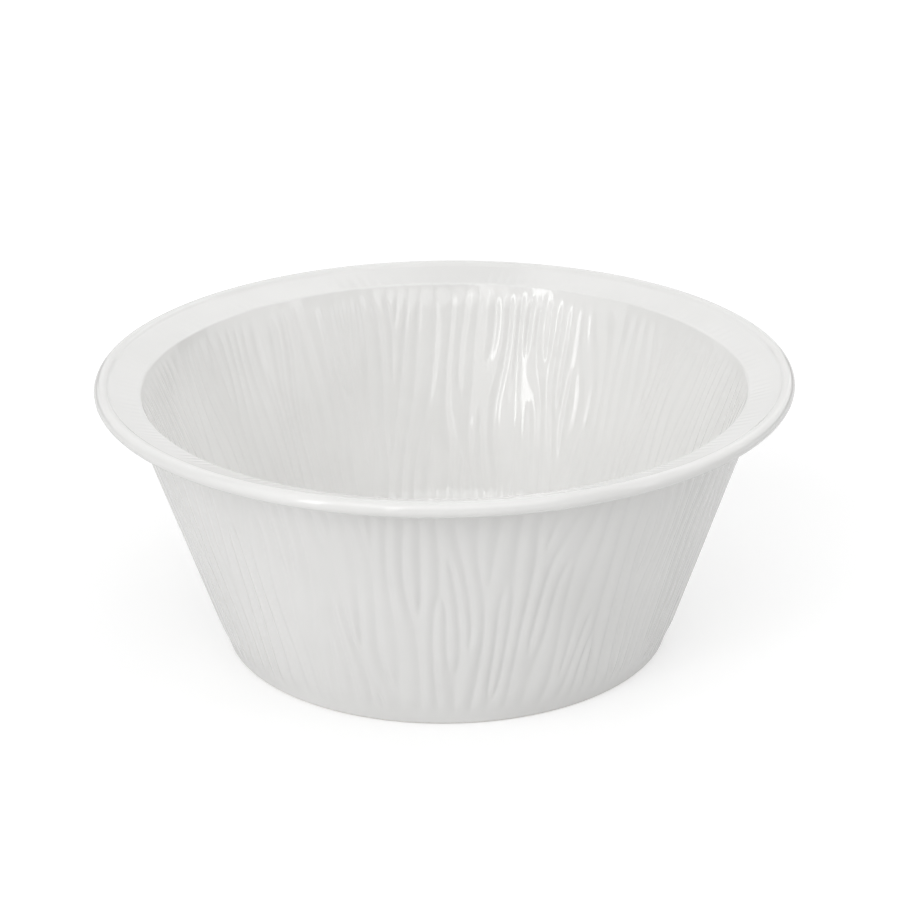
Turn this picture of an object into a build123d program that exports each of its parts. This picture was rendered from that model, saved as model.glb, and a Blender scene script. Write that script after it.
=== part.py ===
"""Porcelain serving bowl: one fired porcelain body and the glaze fused over it.

Millimetres. The origin is the centre of the foot, on the surface the bowl stands on, and +Z is up.
Every sub-part is a ring turned from one shared cross-section, so the pieces meet face to face.
The film of glaze is drawn as four pieces: inside, rim, outside and the recess under the base.
"""
import os

from build123d import *

# Rim: a gently rising flange that ends in a full-round bead
RIM_R = 140.0            # outermost radius, over the bead
RIM_TOP = 113.7          # height over the bead
BEAD_R = 3.0             # radius of the bead's round section
FLANGE_INNER_R = 121.7   # inner edge of the flange, where it turns down into the bowl
FLANGE_INNER_Z = 108.2
FLANGE_OUTER_Z = 113.1   # top of the flange, carried on to the bead's middle
FLANGE_UNDER_Z = 109.0   # underside of the flange, carried on to the bead's middle
FLANGE_ROOT_Z = 105.8    # underside of the flange where it meets the wall

# Wall: a straight-sided cone, thicker towards the foot
INNER_SLOPE = 0.366      # radius gained per millimetre of height, inside
OUTER_SLOPE = 0.336      # radius gained per millimetre of height, outside
WALL_T = 5.2             # thickness at the flange's inner edge, measured horizontally

# Floor, foot ring and the recess under the base
FLOOR_Z = 8.0            # top of the floor inside the bowl
RECESS_Z = 2.5           # ceiling of the recess under the base
FOOT_INNER_R = 84.0      # inner wall of the foot ring
BARE_Z = 1.1             # the foot ring is wiped clean of glaze up to this height

# Roundings
FLOOR_ROUND = 25.0       # wall into floor
EDGE_ROUND = 1.5         # flange's inner edge
BEAD_BLEND = 2.5         # flange into the bead, on top
UNDER_BLEND = 1.2        # flange into the bead, underneath
ROOT_ROUND = 3.0         # wall into the flange, underneath
FOOT_OUTER_ROUND = 1.8   # wall into the foot's bearing face
FOOT_INNER_ROUND = 0.9   # both corners of the foot ring's inner wall

GLAZE_T = 0.3            # thickness of the glaze

# Where the film of glaze is divided
EDGE_CUT_R = 123.6       # on the flange, just outside its inner edge
ROOT_CUT_Z = 101.0       # on the outer wall, just under the flange

# Any box larger than the bowl, for masks
FAR_R = 150.0
FAR_Z = 125.0


def inner_wall_r(z):
    """Radius of the glazed inner wall at height z."""
    return FLANGE_INNER_R - INNER_SLOPE * (FLANGE_INNER_Z - z)


def outer_wall_r(z):
    """Radius of the glazed outer wall at height z."""
    return FLANGE_INNER_R + WALL_T - OUTER_SLOPE * (FLANGE_INNER_Z - z)


def mid_wall_r(z):
    """Radius halfway through the wall at height z."""
    return (inner_wall_r(z) + outer_wall_r(z)) / 2


def region(*points):
    """Plane region in the radius-height plane, bounded by straight lines through the points."""
    return make_face(Polyline(*[(r, 0, z) for r, z in points], close=True))


def rounded(face, radius, *corners):
    """Round the face's corners nearest to the given (radius, height) points."""
    picked = [face.vertices().sort_by_distance((r, 0, z))[0] for r, z in corners]
    return face.fillet_2d(radius, picked)


def glazed_section():
    """Half cross-section of the finished bowl, glaze included."""
    bead_mid_r = RIM_R - BEAD_R
    bead_mid_z = RIM_TOP - BEAD_R
    floor_corner = (inner_wall_r(FLOOR_Z), FLOOR_Z)
    edge_corner = (FLANGE_INNER_R, FLANGE_INNER_Z)
    root_corner = (outer_wall_r(FLANGE_ROOT_Z), FLANGE_ROOT_Z)
    foot_corner = (outer_wall_r(0), 0)
    foot_inner_corner = (FOOT_INNER_R, 0)
    recess_corner = (FOOT_INNER_R, RECESS_Z)
    wall_and_flange = region(
        (0, RECESS_Z),
        (0, FLOOR_Z),
        floor_corner,
        edge_corner,
        (bead_mid_r, FLANGE_OUTER_Z),
        (bead_mid_r, FLANGE_UNDER_Z),
        root_corner,
        foot_corner,
        foot_inner_corner,
        recess_corner,
    )
    bead = Face(Wire(Edge.make_circle(BEAD_R, Plane((bead_mid_r, 0, bead_mid_z), z_dir=(0, 1, 0)))))
    section = wall_and_flange.fuse(bead).clean().face()
    section = rounded(section, FLOOR_ROUND, floor_corner)
    section = rounded(section, EDGE_ROUND, edge_corner)
    section = rounded(section, ROOT_ROUND, root_corner)
    section = rounded(section, FOOT_OUTER_ROUND, foot_corner)
    section = rounded(section, FOOT_INNER_ROUND, foot_inner_corner, recess_corner)
    section = rounded(section, BEAD_BLEND, (bead_mid_r - BEAD_R, FLANGE_OUTER_Z))
    section = rounded(section, UNDER_BLEND, (bead_mid_r - BEAD_R, FLANGE_UNDER_Z))
    return section


def body_section(glazed):
    """Half cross-section of the fired body: the bowl less its glaze, with a bare foot ring."""
    inset = offset(glazed, amount=-GLAZE_T).face()
    core = region(
        (0, RECESS_Z + GLAZE_T),
        (0, FLOOR_Z - GLAZE_T),
        (FOOT_INNER_R / 2, FLOOR_Z - GLAZE_T),
        (FOOT_INNER_R / 2, RECESS_Z + GLAZE_T),
    )
    bare_foot = glazed & region((0, 0), (0, BARE_Z), (FAR_R, BARE_Z), (FAR_R, 0))
    return inset.fuse(core, bare_foot.face()).clean().face()


def turned(section):
    """Solid turned from a half cross-section about the bowl's axis."""
    return revolve(section, Axis.Z)


def porcelain_body(glazed):
    """The fired clay body: floor, wall, flange, bead and foot ring in one piece."""
    return turned(body_section(glazed))


def glaze_film(glazed, mask):
    """The part of the glaze film that lies inside the mask."""
    film = glazed.cut(body_section(glazed))
    return turned((film & mask).face())


def glaze_inside(glazed):
    """Glaze over the floor and the inner wall, up to the flange."""
    mask = region(
        (0, RECESS_Z + 2 * GLAZE_T),
        (mid_wall_r(RECESS_Z), RECESS_Z + 2 * GLAZE_T),
        (EDGE_CUT_R, FLANGE_ROOT_Z),
        (EDGE_CUT_R, FAR_Z),
        (0, FAR_Z),
    )
    return glaze_film(glazed, mask)


def glaze_rim(glazed):
    """Glaze over the flange and the bead, and under the flange to the top of the wall."""
    mask = region(
        (EDGE_CUT_R, FAR_Z),
        (EDGE_CUT_R, FLANGE_ROOT_Z),
        (mid_wall_r(ROOT_CUT_Z), ROOT_CUT_Z),
        (FAR_R, ROOT_CUT_Z),
        (FAR_R, FAR_Z),
    )
    return glaze_film(glazed, mask)


def glaze_outside(glazed):
    """Glaze over the outer wall, down to the wiped foot ring."""
    mask = region(
        (FAR_R, ROOT_CUT_Z),
        (mid_wall_r(ROOT_CUT_Z), ROOT_CUT_Z),
        (mid_wall_r(BARE_Z), BARE_Z),
        (FAR_R, BARE_Z),
    )
    return glaze_film(glazed, mask)


def glaze_base(glazed):
    """Glaze in the recess under the base, inside the foot ring."""
    mask = region(
        (0, BARE_Z),
        (0, RECESS_Z + 2 * GLAZE_T),
        (FOOT_INNER_R + 2 * GLAZE_T, RECESS_Z + 2 * GLAZE_T),
        (FOOT_INNER_R + 2 * GLAZE_T, BARE_Z),
    )
    return glaze_film(glazed, mask)


SUB_PARTS = {
    "porcelain_body": porcelain_body,
    "glaze_inside": glaze_inside,
    "glaze_rim": glaze_rim,
    "glaze_outside": glaze_outside,
    "glaze_base": glaze_base,
}


def main():
    os.makedirs("parts", exist_ok=True)
    glazed = glazed_section()
    for name, make in SUB_PARTS.items():
        export_step(make(glazed), os.path.join("parts", name + ".step"))


main()
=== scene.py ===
"""Looks of the porcelain serving bowl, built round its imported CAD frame. Metres, +Z up.

The CAD keeps the smooth walls. Here the film of glaze gets the relief of the real bowl: upright
ridges that wander, fork and meet on both faces of the wall, and fine ribs across the flange.
One grid of points covers the whole glazed surface. It is cut into the CAD's pieces afterwards,
so that neither the relief nor the shading shows where two pieces meet.
"""
import math

import bpy
import numpy as np
from mathutils import Matrix, Vector


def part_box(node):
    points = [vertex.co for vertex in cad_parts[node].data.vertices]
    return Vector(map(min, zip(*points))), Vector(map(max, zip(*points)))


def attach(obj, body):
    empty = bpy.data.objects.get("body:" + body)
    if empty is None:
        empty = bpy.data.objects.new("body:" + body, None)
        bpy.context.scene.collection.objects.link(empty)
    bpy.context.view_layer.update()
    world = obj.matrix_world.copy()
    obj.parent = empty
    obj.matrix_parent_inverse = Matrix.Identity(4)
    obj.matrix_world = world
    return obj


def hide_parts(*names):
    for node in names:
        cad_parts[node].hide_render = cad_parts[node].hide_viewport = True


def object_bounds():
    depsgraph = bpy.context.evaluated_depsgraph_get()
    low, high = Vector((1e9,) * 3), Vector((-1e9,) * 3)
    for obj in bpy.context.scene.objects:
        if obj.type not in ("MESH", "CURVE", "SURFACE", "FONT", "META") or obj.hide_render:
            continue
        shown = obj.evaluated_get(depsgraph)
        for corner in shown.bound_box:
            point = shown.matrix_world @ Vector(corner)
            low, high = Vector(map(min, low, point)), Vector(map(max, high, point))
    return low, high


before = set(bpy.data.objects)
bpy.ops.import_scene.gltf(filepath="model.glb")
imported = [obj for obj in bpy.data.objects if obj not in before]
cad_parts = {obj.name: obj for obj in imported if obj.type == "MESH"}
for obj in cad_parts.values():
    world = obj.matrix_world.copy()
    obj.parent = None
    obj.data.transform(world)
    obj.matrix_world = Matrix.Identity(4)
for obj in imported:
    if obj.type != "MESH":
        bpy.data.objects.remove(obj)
cad_lo, cad_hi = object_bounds()

MM = 0.001

# ---- Cross-section of the glazed surface, the same as the CAD's -------------------------------
RIM_R = cad_hi.x
RIM_TOP = cad_hi.z
BEAD_R = 3.0 * MM
FLANGE_INNER = np.array((121.7, 108.2)) * MM      # (radius, height) of the flange's inner edge
FLANGE_OUTER_Z = 113.1 * MM
FLANGE_UNDER_Z = 109.0 * MM
FLANGE_ROOT_Z = 105.8 * MM
INNER_SLOPE = 0.366
OUTER_SLOPE = 0.336
WALL_T = 5.2 * MM
GLAZE_T = 0.3 * MM
FLOOR_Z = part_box("glaze_inside")[0].z + GLAZE_T
RECESS_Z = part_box("glaze_base")[1].z - GLAZE_T
FOOT_INNER_R = 84.0 * MM
FLOOR_ROUND = 25.0 * MM
EDGE_ROUND = 1.5 * MM
BEAD_BLEND = 2.5 * MM
UNDER_BLEND = 1.2 * MM
ROOT_ROUND = 3.0 * MM
FOOT_OUTER_ROUND = 1.8 * MM
FOOT_INNER_ROUND = 0.9 * MM

# Where the CAD divides the film of glaze
EDGE_CUT_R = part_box("glaze_inside")[1].x
ROOT_CUT_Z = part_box("glaze_outside")[1].z
BARE_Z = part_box("glaze_outside")[0].z

# ---- Fineness of the grid ---------------------------------------------------------------------
COLUMNS = 1320
BASE_COLUMNS = 480
BODY_COLUMNS = 720
WALL_STEP = 1.7 * MM       # between rows on the outer wall
INNER_STEP = 2.2 * MM      # between rows on the inner wall
FLOOR_STEP = 11.0 * MM
ROUND_STEP = 3.5 * MM      # round the floor's corner
FLANGE_STEP = 1.3 * MM
BEAD_STEP = 0.9 * MM
EDGE_STEP = 0.65 * MM
FOOT_STEP = 0.25 * MM


# ---- Plane geometry of the cross-section ------------------------------------------------------
def unit(v):
    return v / math.hypot(*v)


def left_of(v):
    return np.array((-v[1], v[0]))


def inner_wall_r(z):
    return FLANGE_INNER[0] - INNER_SLOPE * (FLANGE_INNER[1] - z)


def outer_wall_r(z):
    return FLANGE_INNER[0] + WALL_T - OUTER_SLOPE * (FLANGE_INNER[1] - z)


class Outline:
    """A line of straights and arcs in the (radius, height) plane, with the surface on its left."""

    def __init__(self, start):
        self.here = np.array(start, float)
        self.points = []
        self.normals = []
        self.bends = []            # True where the line bends or a straight begins

    def straight(self, end, step):
        end = np.array(end, float)
        rows = max(1, round(math.dist(self.here, end) / step))
        normal = left_of(unit(end - self.here))
        for i in range(rows):
            self.points.append(self.here + (end - self.here) * i / rows)
            self.normals.append(normal)
            self.bends.append(i == 0)
        self.here = end

    def arc(self, centre, end, turn, step):
        """turn is 1 for a hollow arc, to the left, and -1 for a rounded one, to the right."""
        first = self.here - centre
        last = np.array(end, float) - centre
        radius = math.hypot(*first)
        begin = math.atan2(first[1], first[0])
        sweep = (math.atan2(last[1], last[0]) - begin) * turn % (2 * math.pi)
        rows = max(3, round(radius * sweep / step))
        for i in range(rows):
            angle = begin + turn * sweep * i / rows
            ray = np.array((math.cos(angle), math.sin(angle)))
            self.points.append(centre + radius * ray)
            self.normals.append(-turn * ray)
            self.bends.append(True)
        self.here = np.array(end, float)

    def corner(self, corner, towards, radius, step, arc_step):
        """A straight up to a corner, and the arc that rounds it off towards the next point."""
        corner, towards = np.array(corner, float), np.array(towards, float)
        before, after = unit(corner - self.here), unit(towards - corner)
        bend = math.atan2(before[0] * after[1] - before[1] * after[0], before @ after)
        turn = 1 if bend > 0 else -1
        reach = radius * math.tan(abs(bend) / 2)
        self.straight(corner - before * reach, step)
        self.arc(self.here + left_of(before) * turn * radius, corner + after * reach, turn, arc_step)

    def close(self, normal):
        self.points.append(self.here)
        self.normals.append(np.array(normal, float))
        self.bends.append(True)
        return np.array(self.points), np.array(self.normals), np.array(self.bends)


def bead_blend(start, end, radius, bead, side):
    """The hollow arc between the straight start-end and the bead: its centre, where it touches
    the straight, and where it touches the bead."""
    along = unit(end - start)
    begin = start + left_of(along) * radius - bead
    half = begin @ along
    reach = math.sqrt(half * half - begin @ begin + (BEAD_R + radius) ** 2)
    centre = bead + begin + along * (side * reach - half)
    return centre, centre - left_of(along) * radius, bead + unit(centre - bead) * BEAD_R


def glazed_outline():
    """From the middle of the floor up the inside, over the rim and down to the bare foot."""
    bead = np.array((RIM_R - BEAD_R, RIM_TOP - BEAD_R))
    floor_corner = (inner_wall_r(FLOOR_Z), FLOOR_Z)
    root = np.array((outer_wall_r(FLANGE_ROOT_Z), FLANGE_ROOT_Z))
    foot = (outer_wall_r(0), 0)
    flange_end = np.array((bead[0], FLANGE_OUTER_Z))
    under_start = np.array((bead[0], FLANGE_UNDER_Z))
    top_centre, top_start, top_end = bead_blend(FLANGE_INNER, flange_end, BEAD_BLEND, bead, -1)
    low_centre, low_end, low_start = bead_blend(under_start, root, UNDER_BLEND, bead, 1)

    line = Outline((0, FLOOR_Z))
    line.corner(floor_corner, FLANGE_INNER, FLOOR_ROUND, FLOOR_STEP, ROUND_STEP)
    line.corner(FLANGE_INNER, flange_end, EDGE_ROUND, INNER_STEP, EDGE_STEP)
    line.straight(top_start, FLANGE_STEP)
    line.arc(top_centre, top_end, 1, BEAD_STEP)
    line.arc(bead, low_start, -1, BEAD_STEP)
    line.arc(low_centre, low_end, 1, EDGE_STEP)
    line.corner(root, foot, ROOT_ROUND, FLANGE_STEP, EDGE_STEP)
    line.straight((outer_wall_r(ROOT_CUT_Z), ROOT_CUT_Z), WALL_STEP)
    wall_end = len(line.points)
    line.straight((outer_wall_r(BARE_Z), BARE_Z), WALL_STEP)
    return line.close(line.normals[wall_end])


def base_outline():
    """From the bare foot up its inner wall and in along the recess under the base."""
    line = Outline((FOOT_INNER_R, BARE_Z))
    line.corner((FOOT_INNER_R, RECESS_Z), (0, RECESS_Z), FOOT_INNER_ROUND, EDGE_STEP, EDGE_STEP)
    line.straight((0, RECESS_Z), FLOOR_STEP)
    return line.close((0, -1))


def foot_outline():
    """The bare foot ring, from where the outer glaze ends to where the base's glaze begins."""
    lean = math.atan(OUTER_SLOPE)
    reach = FOOT_OUTER_ROUND * math.tan(math.pi / 4 - lean / 2)
    centre = np.array((outer_wall_r(0) - reach, FOOT_OUTER_ROUND))
    begin = math.asin((BARE_Z - FOOT_OUTER_ROUND) / FOOT_OUTER_ROUND)
    line = Outline(centre + FOOT_OUTER_ROUND * np.array((math.cos(begin), math.sin(begin))))
    line.arc(centre, (centre[0], 0), -1, FOOT_STEP)
    line.corner((FOOT_INNER_R, 0), (FOOT_INNER_R, RECESS_Z), FOOT_INNER_ROUND, FLANGE_STEP, FOOT_STEP)
    line.straight((FOOT_INNER_R, BARE_Z), FOOT_STEP)
    return line.close((-1, 0))


# ---- Relief -----------------------------------------------------------------------------------
# The ridges are the crests of a wave that runs round the bowl. Where a ridge ends or two meet,
# the wave has one crest fewer below the point than above it, or one more.
OUTER_RIDGES = 116             # round the top of the outer wall
OUTER_MEETINGS = 27            # ridges lost on the way down
INNER_RIDGES = 128
INNER_MEETINGS = 22
FORK_PAIRS = 24                # ridges that part and meet again further along
FLANGE_RIBS = 170
OUTER_SEED = 7
INNER_SEED = 11
RIBS_SEED = 5
STRETCH = 2.6                  # forks are this much longer than they are wide
FORK_SOFT = 0.9 * MM           # the relief fades this near a fork's point
FORK_TURN_WEIGHT = 2.0         # scattered forks keep FORK_GAP apart, in weighted degrees and mm
FORK_HEIGHT_WEIGHT = 0.6
FORK_GAP = 9
FORK_TRIES = 200
OUTER_RELIEF = 0.95 * MM       # from valley to crest
INNER_RELIEF = 0.75 * MM
FLANGE_RELIEF = 0.08 * MM
VALLEY = 0.22                  # share of the relief that lies below the CAD's surface
VALLEY_SOFT = 0.10             # 0 would be a sharp crease between ridges
MID_RELIEF = 0.62              # what the relief fades to at a fork
STRENGTH_MEAN = 0.82           # ridges vary in height round the bowl
STRENGTH_SWAY = 0.18
STRENGTH_RANGE = (0.35, 1.15)
RIB_STRENGTH_MEAN = 0.7
RIB_STRENGTH_SWAY = 0.3
RIB_WANDER = 1.6               # radians of the ribs' wave

# Heights over which the relief begins above the foot or floor, and ends below the flange
OUTER_BEGIN = (4.0 * MM, 14.0 * MM)
OUTER_END = (100.0 * MM, 106.5 * MM)
INNER_BEGIN = (10.0 * MM, 26.0 * MM)
INNER_END = (98.5 * MM, 107.0 * MM)
# Radii over which the inner relief ends, and the ribs begin and end
WALL_END_R = (121.2 * MM, 122.6 * MM)
RIBS_BEGIN_R = (122.2 * MM, 124.2 * MM)
RIBS_END_R = (125.0 * MM, 132.5 * MM)

# Forks given one by one, as (degrees round the bowl, height in mm, +1 a fork or -1 a meeting
# when followed downwards)
FRONT_FORKS = (
    (-95.6, 59, -1),
    (-91.2, 61, 1),
    (-85.6, 42, -1),
    (-82.4, 73, -1),
    (-80.2, 16, -1),
    (-78.8, 65, 1),
    (-72.4, 36, -1),
    (-66.8, 74, 1),
    (-59.6, 46, 1),
    (-50.8, 87, 1),
)
BACK_FORKS = (
    (86.0, 66, -1),
    (80.1, 78, -1),
    (81.4, 54, 1),
    (71.0, 82, -1),
    (65.8, 81, -1),
    (68.8, 58, 1),
    (116.0, 82, 1),
    (112.0, 92, -1),
)


def fade_in(x, span):
    """Smoothly from 0 at the span's start to 1 at its end."""
    start, end = span
    t = np.clip((x - start) / (end - start), 0, 1)
    return t * t * (3 - 2 * t)


def fade_out(x, span):
    """Smoothly from 1 at the span's start to 0 at its end."""
    start, end = span
    return fade_in(-x, (-end, -start))


def scattered_forks(rng, kept, meetings, low, high):
    """Forks spread at random round the bowl, apart from each other, with the given net loss."""
    forks = list(kept)
    signs = [-1] * (meetings + sum(s for _, _, s in kept)) + [-1, 1] * FORK_PAIRS
    for sign in signs:
        for _ in range(FORK_TRIES):
            turn = rng.uniform(-180, 180)
            height = rng.uniform(low, high)
            near = min(
                math.hypot(
                    ((turn - t + 180) % 360 - 180) * FORK_TURN_WEIGHT,
                    (height - z) * FORK_HEIGHT_WEIGHT,
                )
                for t, z, _ in forks
            )
            if near > FORK_GAP:
                break
        forks.append((turn, height, sign))
    return forks


def waves(rng, count, lowest, highest, longest):
    """Smooth wandering: waves round the bowl, each with its own lean along the wall."""
    made = []
    for _ in range(count):
        around = rng.integers(lowest, highest)
        lean = rng.uniform(-2 * math.pi, 2 * math.pi) / longest
        made.append((around, lean, rng.uniform(0, 2 * math.pi)))
    return made


def wander(made, theta, height):
    """The sum of the waves, scaled to a mean square of 1."""
    total = sum(np.cos(n * theta + lean * height + start) for n, lean, start in made)
    return total / math.sqrt(len(made) / 2)


def ridges(theta, height, seed, count, kept, meetings, low, high, radius, sway, bunching):
    """Height of the ridges over the grid, about 0 in a valley and 1 on a crest. The scattered
    forks lie between the heights low and high, in mm. Sway and bunching are in radians."""
    rng = np.random.default_rng(seed)
    forks = scattered_forks(rng, kept, meetings, low, high)
    place = np.exp(-height / (STRETCH * radius)) * np.exp(1j * theta)
    phase = count * theta
    soft = np.ones_like(phase)
    for turn, z, sign in forks:
        fork_height = z * MM
        fork_turn = math.radians(turn)
        point = math.exp(-fork_height / (STRETCH * radius)) * np.exp(1j * fork_turn)
        phase = phase + sign * np.angle(place - point)
        across = radius * np.angle(np.exp(1j * (theta - fork_turn)))
        gap = np.hypot(across, (height - fork_height) / STRETCH)
        soft = soft * (1 - np.exp(-((gap / FORK_SOFT) ** 2)))
    slow = waves(rng, count=12, lowest=3, highest=12, longest=0.07)
    phase = phase + sway * wander(slow, theta, height)
    quick = waves(rng, count=14, lowest=12, highest=30, longest=0.06)
    phase = phase + bunching * wander(quick, theta, height)
    uneven = waves(rng, count=8, lowest=4, highest=30, longest=0.08)
    strength = STRENGTH_MEAN + STRENGTH_SWAY * wander(uneven, theta, height)
    crest = np.sqrt(((1 + np.cos(phase)) / 2 + VALLEY_SOFT) / (1 + VALLEY_SOFT))
    return MID_RELIEF + (crest - MID_RELIEF) * soft * np.clip(strength, *STRENGTH_RANGE)


def outer_ridges(theta, height):
    return ridges(
        theta, height, seed=OUTER_SEED, count=OUTER_RIDGES, kept=FRONT_FORKS,
        meetings=OUTER_MEETINGS, low=8, high=98, radius=108 * MM, sway=1.2, bunching=0.5,
    )


def inner_ridges(theta, height):
    return ridges(
        theta, height, seed=INNER_SEED, count=INNER_RIDGES, kept=BACK_FORKS,
        meetings=INNER_MEETINGS, low=20, high=100, radius=103 * MM, sway=1.2, bunching=0.8,
    )


def flange_ribs(theta, height):
    """Fine ribs across the flange, from about -1 to 1."""
    rng = np.random.default_rng(RIBS_SEED)
    crooked = waves(rng, count=12, lowest=3, highest=30, longest=0.2)
    ribs = np.cos(FLANGE_RIBS * theta + RIB_WANDER * wander(crooked, theta, height))
    uneven = waves(rng, count=8, lowest=5, highest=40, longest=0.2)
    return (RIB_STRENGTH_MEAN + RIB_STRENGTH_SWAY * wander(uneven, theta, height)) * ribs


def relief(points, theta):
    """Displacement along the surface's normal, for every row and column of the grid."""
    radius, height = points[:, :1], points[:, 1:]
    rim_row = int(points[:, 0].argmax())
    rows = np.arange(len(points))[:, None]
    inside = rows < rim_row
    theta, height = np.broadcast_arrays(theta[None, :], height)
    outer_share = fade_in(height, OUTER_BEGIN) * fade_out(height, OUTER_END)
    outer = OUTER_RELIEF * outer_share * (outer_ridges(theta, height) - VALLEY)
    inner_share = fade_in(height, INNER_BEGIN) * fade_out(height, INNER_END)
    inner_share = inner_share * fade_out(radius, WALL_END_R)
    inner = INNER_RELIEF * inner_share * (inner_ridges(theta, height) - VALLEY)
    rib_share = fade_in(radius, RIBS_BEGIN_R) * fade_out(radius, RIBS_END_R)
    ribs = FLANGE_RELIEF / 2 * rib_share * flange_ribs(theta, height)
    return np.where(inside, inner + ribs, outer)


# ---- Meshes -----------------------------------------------------------------------------------
NEAR_AXIS = 1.0 * MM           # slopes round the bowl aren't taken nearer to its axis
ON_AXIS = 0.0001 * MM


def around(points, theta):
    """(rows, columns, 3) from (radius, height) rows."""
    radius, height = points[:, :1], points[:, 1:]
    return np.stack(
        (radius * np.cos(theta), radius * np.sin(theta), height + 0 * theta), axis=-1
    )


def surface(points, normals, theta, lift):
    """The displaced grid and its normals, from the slope of the displacement."""
    along = np.concatenate(([0], np.cumsum(np.hypot(*np.diff(points, axis=0).T))))
    slope_along = np.gradient(lift, along, axis=0)
    turn = 2 * math.pi / len(theta)
    radius = np.maximum(points[:, :1], NEAR_AXIS)
    slope_round = (np.roll(lift, -1, axis=1) - np.roll(lift, 1, axis=1)) / (2 * turn * radius)
    out = around(normals, theta)
    tangents = np.stack((normals[:, 1], -normals[:, 0]), axis=-1)
    forward = around(tangents, theta)
    sideways = np.stack((-np.sin(theta), np.cos(theta), 0 * theta), axis=-1)[None, :, :]
    tilted = out - forward * slope_along[..., None] - sideways * slope_round[..., None]
    tilted /= np.linalg.norm(tilted, axis=-1, keepdims=True)
    return around(points, theta) + out * lift[..., None], tilted


def strip_faces(first, second):
    """Quads between two rings of point numbers, facing left of the way from first to second."""
    return np.stack((first, second, np.roll(second, -1), np.roll(first, -1)), axis=-1)


def film(name, outer, outer_normals, back):
    """A closed piece between a grid of points and its smooth back. A row on the bowl's axis
    becomes a single point, so that no face there has no area."""
    columns = outer.shape[1]
    rings, coords, normals = [], [], []
    total = 0
    back_normals = np.zeros_like(back)
    for grid, grid_normals in ((outer, outer_normals), (back[::-1], back_normals)):
        for ring, ring_normals in zip(grid, grid_normals):
            if math.hypot(ring[0, 0], ring[0, 1]) < ON_AXIS:
                rings.append(np.full(columns, total))
                coords.append(ring[:1])
                normals.append(ring_normals[:1])
                total += 1
            else:
                rings.append(total + np.arange(columns))
                coords.append(ring)
                normals.append(ring_normals)
                total += columns
    loop = list(zip(rings, rings[1:] + rings[:1]))
    faces = []
    for first, second in loop:
        if first[0] == first[1] and second[0] == second[1]:
            continue
        quads = strip_faces(first, second)
        if first[0] == first[1]:
            quads = quads[:, [0, 1, 2]]
        elif second[0] == second[1]:
            quads = quads[:, [0, 1, 3]]
        faces.extend(quads.tolist())
    mesh = bpy.data.meshes.new(name)
    mesh.from_pydata(np.concatenate(coords).tolist(), [], faces)
    mesh.shade_smooth()
    mesh.normals_split_custom_set_from_vertices(np.concatenate(normals).tolist())
    mesh.update()
    piece = bpy.data.objects.new(name, mesh)
    bpy.context.scene.collection.objects.link(piece)
    return piece


def back_of(points, normals, bends):
    """The film's hidden back, GLAZE_T under the smooth surface. Straights need no rows between
    their ends."""
    keep = bends.copy()
    keep[[0, -1]] = True
    return points[keep] - normals[keep] * GLAZE_T


def glaze_pieces():
    points, normals, bends = glazed_outline()
    theta = np.arange(COLUMNS) * 2 * math.pi / COLUMNS
    grid, grid_normals = surface(points, normals, theta, relief(points, theta))
    rim_row = int(points[:, 0].argmax())
    edge_row = int(np.abs(points[:rim_row, 0] - EDGE_CUT_R).argmin())
    root_row = rim_row + int(np.abs(points[rim_row:, 1] - ROOT_CUT_Z).argmin())
    spans = {
        "inside_glaze": ("glaze_inside", slice(0, edge_row + 1)),
        "rim_glaze": ("glaze_rim", slice(edge_row, root_row + 1)),
        "outside_glaze": ("glaze_outside", slice(root_row, len(points))),
    }
    made = []
    for name, (node, rows) in spans.items():
        back = around(back_of(points[rows], normals[rows], bends[rows]), theta)
        piece = film(name, grid[rows], grid_normals[rows], back)
        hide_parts(node)
        made.append(piece)
    base_points, base_normals, base_bends = base_outline()
    theta = np.arange(BASE_COLUMNS) * 2 * math.pi / BASE_COLUMNS
    still = np.zeros((len(base_points), BASE_COLUMNS))
    grid, grid_normals = surface(base_points, base_normals, theta, still)
    back = around(back_of(base_points, base_normals, base_bends), theta)
    piece = film("base_glaze", grid, grid_normals, back)
    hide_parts("glaze_base")
    made.append(piece)
    return made


def clay_body():
    """The porcelain under the glaze. Only its foot ring shows. Its outline begins and ends on
    the bowl's axis, so it is closed without a back."""
    points, normals, bends = glazed_outline()
    under_glaze = back_of(points, normals, bends)
    points, normals, bends = base_outline()
    under_base = back_of(points, normals, bends)
    foot, foot_normals, _ = foot_outline()
    rows = np.concatenate((under_glaze, foot, under_base))
    row_normals = np.zeros_like(rows)
    row_normals[len(under_glaze):len(under_glaze) + len(foot)] = foot_normals
    theta = np.arange(BODY_COLUMNS) * 2 * math.pi / BODY_COLUMNS
    nothing = np.zeros((0, BODY_COLUMNS, 3))
    piece = film("clay_body", around(rows, theta), around(row_normals, theta), nothing)
    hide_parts("porcelain_body")
    return piece


# ---- Materials --------------------------------------------------------------------------------
NOISE_MIDDLE = (0.3, 0.7)      # where most of a noise's values lie
GRAIN_MIDDLE = (0.35, 0.65)
GLAZE_COLOURS = ((0.795, 0.792, 0.780), (0.825, 0.822, 0.811))
GLAZE_ROUGHNESS = (0.06, 0.10)
GLAZE_IOR = 1.5
CLAY_COLOURS = ((0.74, 0.725, 0.69), (0.81, 0.80, 0.775))
CLAY_ROUGHNESS = (0.72, 0.9)


def new_material(name):
    material = bpy.data.materials.new(name)
    material.use_nodes = True
    tree = material.node_tree
    shader = next(n for n in tree.nodes if n.type == "BSDF_PRINCIPLED")
    place = tree.nodes.new("ShaderNodeTexCoord").outputs["Object"]
    return material, tree, shader, place


def noise(tree, place, scale, detail=2.0):
    node = tree.nodes.new("ShaderNodeTexNoise")
    node.inputs["Scale"].default_value = scale
    node.inputs["Detail"].default_value = detail
    tree.links.new(place, node.inputs["Vector"])
    return node.outputs["Fac"]


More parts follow.
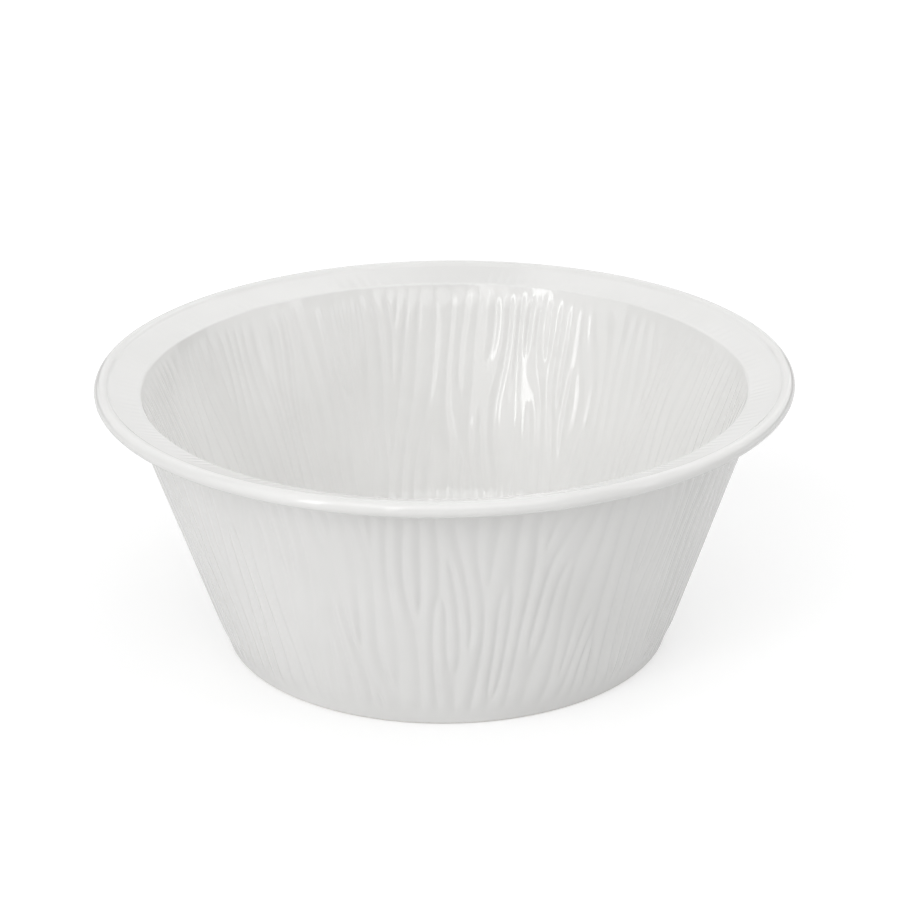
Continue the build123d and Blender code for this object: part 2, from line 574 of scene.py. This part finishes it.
def spread(tree, value, span, new_span):
    """Stretch one span of a value to another, whose ends may be sockets."""
    node = tree.nodes.new("ShaderNodeMapRange")
    node.interpolation_type = "SMOOTHSTEP"
    names = ("From Min", "From Max", "To Min", "To Max")
    for name, number in zip(names, (*span, *new_span)):
        socket = node.inputs[name]
        if isinstance(number, bpy.types.NodeSocket):
            tree.links.new(number, socket)
        else:
            socket.default_value = number
    tree.links.new(value, node.inputs["Value"])
    return node.outputs["Result"]


def mixed(tree, share, first, second):
    node = tree.nodes.new("ShaderNodeMix")
    node.data_type = "RGBA"
    node.inputs["A"].default_value = (*first, 1)
    node.inputs["B"].default_value = (*second, 1)
    tree.links.new(share, node.inputs["Factor"])
    return node.outputs["Result"]


def bumped(tree, shader, height, distance, strength):
    node = tree.nodes.new("ShaderNodeBump")
    node.inputs["Distance"].default_value = distance
    node.inputs["Strength"].default_value = strength
    tree.links.new(height, node.inputs["Height"])
    tree.links.new(node.outputs["Normal"], shader.inputs["Normal"])


def glaze_material():
    """Clear glaze over white porcelain: glossy, with a faint orange peel and cloudiness."""
    material, tree, shader, place = new_material("white_porcelain_glaze")
    clouds = spread(tree, noise(tree, place, scale=22.0, detail=3.0), NOISE_MIDDLE, (0, 1))
    tree.links.new(mixed(tree, clouds, *GLAZE_COLOURS), shader.inputs["Base Color"])
    gloss = spread(tree, noise(tree, place, scale=160.0), NOISE_MIDDLE, GLAZE_ROUGHNESS)
    tree.links.new(gloss, shader.inputs["Roughness"])
    shader.inputs["IOR"].default_value = GLAZE_IOR
    peel = noise(tree, place, scale=420.0, detail=3.0)
    bumped(tree, shader, peel, distance=0.03 * MM, strength=0.35)
    return material


def bisque_material():
    """Bare fired clay on the foot ring: matt, warmer and finely grained."""
    material, tree, shader, place = new_material("bare_fired_clay")
    grain = spread(tree, noise(tree, place, scale=1400.0, detail=4.0), GRAIN_MIDDLE, (0, 1))
    tree.links.new(mixed(tree, grain, *CLAY_COLOURS), shader.inputs["Base Color"])
    rubbed = spread(tree, noise(tree, place, scale=300.0), NOISE_MIDDLE, CLAY_ROUGHNESS)
    tree.links.new(rubbed, shader.inputs["Roughness"])
    tooth = noise(tree, place, scale=1800.0, detail=4.0)
    bumped(tree, shader, tooth, distance=0.06 * MM, strength=0.6)
    return material


def wear_only(piece, material):
    piece.data.materials.clear()
    piece.data.materials.append(material)


# ---- Studio -----------------------------------------------------------------------------------
# The sweep is pure white to the camera, as in a catalogue picture, but lights the bowl less than
# a floor that white would. Away from the bowl it glows as brightly as the world beyond it.
FLOOR_SIZE = 24.0
FLOOR_ALBEDO = 0.65
FLOOR_GLOW = 0.165             # as it lights the bowl
FLOOR_SEEN = 0.415             # as the camera sees it
WORLD_GLOW = 0.08
WORLD_SEEN = 1.05
SWEEP_RISE = (0.7, 1.7)        # metres from the bowl where the floor's glow turns to the world's


def brightness(tree, seen, cast):
    """One value for the camera and another for the light that reaches the bowl."""
    ray = tree.nodes.new("ShaderNodeLightPath").outputs["Is Camera Ray"]
    return spread(tree, ray, (0, 1), (cast, seen))


def studio_floor():
    mesh = bpy.data.meshes.new("studio_floor")
    h = FLOOR_SIZE / 2
    mesh.from_pydata([(-h, -h, 0), (h, -h, 0), (h, h, 0), (-h, h, 0)], [], [(0, 1, 2, 3)])
    floor = bpy.data.objects.new("studio_floor", mesh)
    bpy.context.scene.collection.objects.link(floor)
    material, tree, shader, place = new_material("white_sweep")
    shader.inputs["Base Color"].default_value = (FLOOR_ALBEDO, FLOOR_ALBEDO, FLOOR_ALBEDO, 1)
    shader.inputs["Roughness"].default_value = 1.0
    shader.inputs["Specular IOR Level"].default_value = 0.0
    shader.inputs["Emission Color"].default_value = (1, 1, 1, 1)
    away = tree.nodes.new("ShaderNodeVectorMath")
    away.operation = "LENGTH"
    tree.links.new(place, away.inputs[0])
    seen = spread(tree, away.outputs["Value"], SWEEP_RISE, (FLOOR_SEEN, WORLD_SEEN))
    cast = spread(tree, away.outputs["Value"], SWEEP_RISE, (FLOOR_GLOW, WORLD_GLOW))
    tree.links.new(brightness(tree, seen, cast), shader.inputs["Emission Strength"])
    mesh.materials.append(material)


def studio_world():
    """White beyond the sweep, where the camera looks over its edge."""
    world = bpy.data.worlds.new("studio")
    world.use_nodes = True
    bpy.context.scene.world = world
    tree = world.node_tree
    background = tree.nodes["Background"]
    background.inputs["Color"].default_value = (1, 1, 1, 1)
    tree.links.new(brightness(tree, WORLD_SEEN, WORLD_GLOW), background.inputs["Strength"])


# Soft lights, each as (name, degrees round the bowl, degrees up, width, height, watts), in
# metres. The narrow strips make the crisp streaks on the inner wall.
SOFTBOX_DISTANCE = 2.0
SOFTBOXES = (
    ("strip_left", 229, 20, 0.25, 1.35, 5.2),
    ("strip_front", 254, 20, 0.15, 1.35, 1.6),
    ("strip_right", 334, 20, 0.2, 1.35, 1.8),
    ("front_left", 220, 32, 2.2, 2.0, 13.2),
    ("front", 272, 46, 2.0, 1.4, 13.1),
    ("right", 0, 31, 1.4, 1.5, 7.2),
    ("back_right", 45, 31, 1.6, 1.5, 8.8),
    ("back", 90, 26, 1.6, 1.85, 7.2),
    ("back_left", 138, 31, 1.6, 1.5, 6.8),
    ("overhead", 0, 90, 2.4, 2.4, 13.9),
)


def softbox(name, azimuth, elevation, width, height, power):
    """A rectangular light that faces the bowl."""
    data = bpy.data.lights.new(name, "AREA")
    data.shape = "RECTANGLE"
    data.size = width
    data.size_y = height
    data.energy = power
    light = bpy.data.objects.new(name, data)
    bpy.context.scene.collection.objects.link(light)
    azimuth, elevation = math.radians(azimuth), math.radians(elevation)
    level = math.cos(elevation)
    towards = Vector((math.cos(azimuth) * level, math.sin(azimuth) * level, math.sin(elevation)))
    light.location = Vector((0, 0, RIM_TOP / 2)) + towards * SOFTBOX_DISTANCE
    light.rotation_euler = towards.to_track_quat("Z", "Y").to_euler()
    light.visible_camera = False


# Where the camera stands from the middle of the foot, and which way it looks
CAMERA_DISTANCE = 1.0995
CAMERA_ELEVATION = math.radians(25.954)
CAMERA_PITCH = math.radians(22.208)
CAMERA_YAW = math.radians(0.113)
CAMERA_ROLL = math.radians(-0.606)
CAMERA_LENS = 104.91           # mm, with the sensor's width
CAMERA_SENSOR = 36.0


def studio_camera():
    data = bpy.data.cameras.new("camera")
    data.lens = CAMERA_LENS
    data.sensor_width = CAMERA_SENSOR
    camera = bpy.data.objects.new("camera", data)
    bpy.context.scene.collection.objects.link(camera)
    ahead = Vector((
        math.sin(CAMERA_YAW) * math.cos(CAMERA_PITCH),
        math.cos(CAMERA_YAW) * math.cos(CAMERA_PITCH),
        -math.sin(CAMERA_PITCH),
    ))
    right = ahead.cross(Vector((0, 0, 1))).normalized()
    up = right.cross(ahead)
    tilted_right = right * math.cos(CAMERA_ROLL) + up * math.sin(CAMERA_ROLL)
    tilted_up = up * math.cos(CAMERA_ROLL) - right * math.sin(CAMERA_ROLL)
    turn = Matrix((tilted_right, tilted_up, -ahead)).transposed()
    spot = Vector((0, -math.cos(CAMERA_ELEVATION), math.sin(CAMERA_ELEVATION))) * CAMERA_DISTANCE
    camera.matrix_world = Matrix.Translation(spot) @ turn.to_4x4()
    bpy.context.scene.camera = camera


glaze = glaze_material()
for piece in glaze_pieces():
    wear_only(piece, glaze)
    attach(piece, "root")
body = clay_body()
wear_only(body, bisque_material())
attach(body, "root")

studio_floor()
studio_world()
for box in SOFTBOXES:
    softbox(*box)
studio_camera()
bpy.context.scene.view_settings.view_transform = "Standard"
